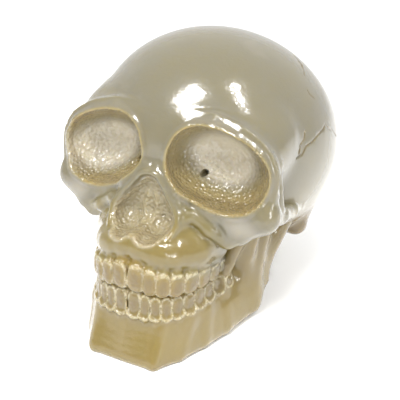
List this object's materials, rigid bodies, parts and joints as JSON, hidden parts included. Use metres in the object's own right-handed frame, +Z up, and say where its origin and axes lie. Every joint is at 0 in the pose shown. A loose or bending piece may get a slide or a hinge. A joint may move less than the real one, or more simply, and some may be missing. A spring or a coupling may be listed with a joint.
{
  "type": "bubbling ornament",
  "caption": "Hollow tinted resin skull ornament for an aquarium, lifted over a small submersible light and air stone unit that fills it with light and bubbles.",
  "frame": {"origin": "on the floor, at the middle of the whole ornament's outline", "axes": "+Z up, -Y the way the face looks, +X the skull's own left side"},
  "size_m": [0.0734, 0.1082, 0.0814],
  "materials": {
    "resin_grey": "gloss, slightly cloudy cast resin",
    "resin_amber": "satin, cast resin",
    "clear_ring": "satin",
    "white_plastic": "satin",
    "clear_rubber": "satin",
    "steel": "satin",
    "board": "gloss",
    "light_window": "gloss",
    "black_epoxy": "matt",
    "lead_sleeve": "gloss",
    "clear_epoxy": "gloss",
    "clear_lens": "gloss",
    "mineral_stone": "matt, porous",
    "black_rubber": "matt"
  },
  "bodies": {
    "unit": {"unit_housing": "white_plastic", "base_plate": "white_plastic", "base_gasket": "clear_rubber", "suction_cups": "clear_rubber", "cover_screws": "steel", "led_board": "board", "led_chips": "light_window", "colour_controller": "black_epoxy", "board_resistors": "black_epoxy", "board_leads": "lead_sleeve", "potting": "clear_epoxy", "lens": "clear_lens", "lens_seal": "clear_rubber", "lens_ring": "white_plastic", "air_inlet": "white_plastic", "inlet_seal": "clear_rubber", "air_duct": "white_plastic", "stone_sleeve": "clear_rubber", "stone_nipple": "white_plastic", "air_stone": "mineral_stone", "gland_body": "white_plastic", "gland_seal": "black_rubber", "gland_nut": "white_plastic"},
    "skull": {"brain_case": "resin_grey", "skull_base": "resin_grey", "face": "resin_grey", "jaw": "resin_amber", "socket_ring": "clear_ring"}
  },
  "joints": [
    {"name": "skull_lift", "type": "slide", "parent": "unit", "child": "skull", "axis": [0, 0, 1], "range_m": [0, 0.06]}
  ]
}
